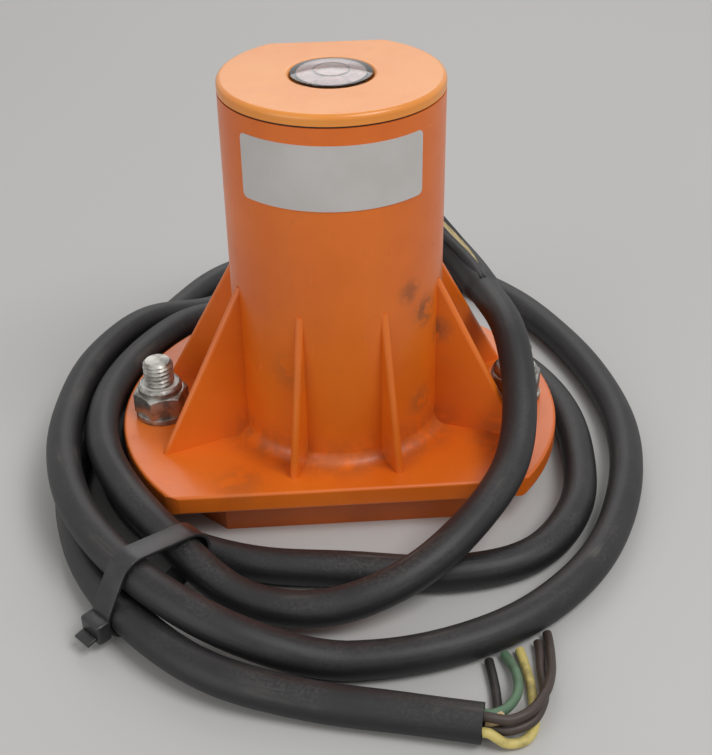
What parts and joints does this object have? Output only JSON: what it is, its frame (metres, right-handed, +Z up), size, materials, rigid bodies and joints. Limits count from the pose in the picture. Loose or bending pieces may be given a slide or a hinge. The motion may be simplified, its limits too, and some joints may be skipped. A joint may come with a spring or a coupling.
{
  "type": "tilt switch",
  "caption": "Orange tilt switch with a D-shaped ribbed body on a flange, a bull's-eye level in the lid, mounting bolts and a coiled black cable.",
  "frame": {"origin": "centre of the base face that stands on the table, on the axis of the body and midway between the two bolts", "axes": "+Z up through the lid, +Y to the flat back with the cable gland, +X to the right bolt as seen from the front"},
  "size_m": [0.2358, 0.3247, 0.162],
  "materials": {
    "orange_body": "semi-gloss orange, scuffed and dusty",
    "orange_lid": "semi-gloss orange, lighter from above",
    "black_rubber": "matt",
    "steel": "satin",
    "zinc_steel": "zinc plated, dull and worn",
    "label_foil": "blank grey-white label, satin",
    "clear_vial": "clear acrylic",
    "black_ink": "printed ring",
    "level_fluid": "clear pinkish fluid",
    "white_plastic": "white",
    "bubble_clear": "air",
    "brass": "turned",
    "magnet": "plated",
    "board_green": "solder mask",
    "black_plastic": "moulded",
    "blue_plastic": "moulded",
    "capacitor_sleeve": "sleeve",
    "terminal_green": "moulded",
    "core_insulation": "core insulation",
    "nylon": "natural nylon",
    "cable_sheath": "black rubber sheath, scuffed grey",
    "tie_nylon": "black nylon",
    "core_green": "core insulation",
    "core_black": "core insulation",
    "core_brown": "core insulation",
    "core_yellow": "core insulation"
  },
  "bodies": {
    "housing": {"housing": "orange_body", "base_cover": "orange_body", "base_gasket": "black_rubber", "cover_screws": "steel", "lid": "orange_lid", "lid_gasket": "black_rubber", "label": "label_foil", "level_vial": "clear_vial", "level_ring": "black_ink", "level_fluid": "level_fluid", "level_base": "white_plastic", "chassis": "steel", "chassis_screws": "steel", "stop_plate": "steel", "circuit_board": "board_green", "board_screws": "steel", "sensor_board": "board_green", "sensors": "black_plastic", "relay": "blue_plastic", "capacitor": "capacitor_sleeve", "terminal_block": "terminal_green", "terminal_screws": "steel", "inner_cores": "core_insulation", "gland_body": "black_plastic", "gland_washer": "black_rubber", "gland_locknut": "black_plastic", "gland_seal": "black_rubber", "gland_nut": "black_plastic", "bolts": "zinc_steel", "plain_washers": "zinc_steel", "spring_washers": "zinc_steel", "lock_nuts": "zinc_steel", "nut_inserts": "nylon", "cable": "cable_sheath", "cable_tie": "tie_nylon", "core_green": "core_green", "core_black": "core_black", "core_brown": "core_brown", "core_brown_low": "core_brown", "core_yellow": "core_yellow"},
    "gimbal": {"gimbal_ring": "brass", "cross_pin": "steel"},
    "pendulum": {"pendulum": "steel", "bob": "brass", "magnet": "magnet"},
    "bubble": {"bubble": "bubble_clear"}
  },
  "joints": [
    {"name": "gimbal_tilt", "type": "hinge", "parent": "housing", "child": "gimbal", "pos_m": [0, 0, 0.118], "axis": [1, 0, 0], "range_deg": [-10, 10]},
    {"name": "pendulum_tilt", "type": "hinge", "parent": "gimbal", "child": "pendulum", "pos_m": [0, 0, 0.118], "axis": [0, 1, 0], "range_deg": [-10, 10]},
    {"name": "bubble_travel", "type": "hinge", "parent": "housing", "child": "bubble", "pos_m": [0, 0, 0.1], "axis": [0, 1, 0], "range_deg": [-6.5, 6.5], "stiffness_Nm_per_rad": 0.001}
  ]
}
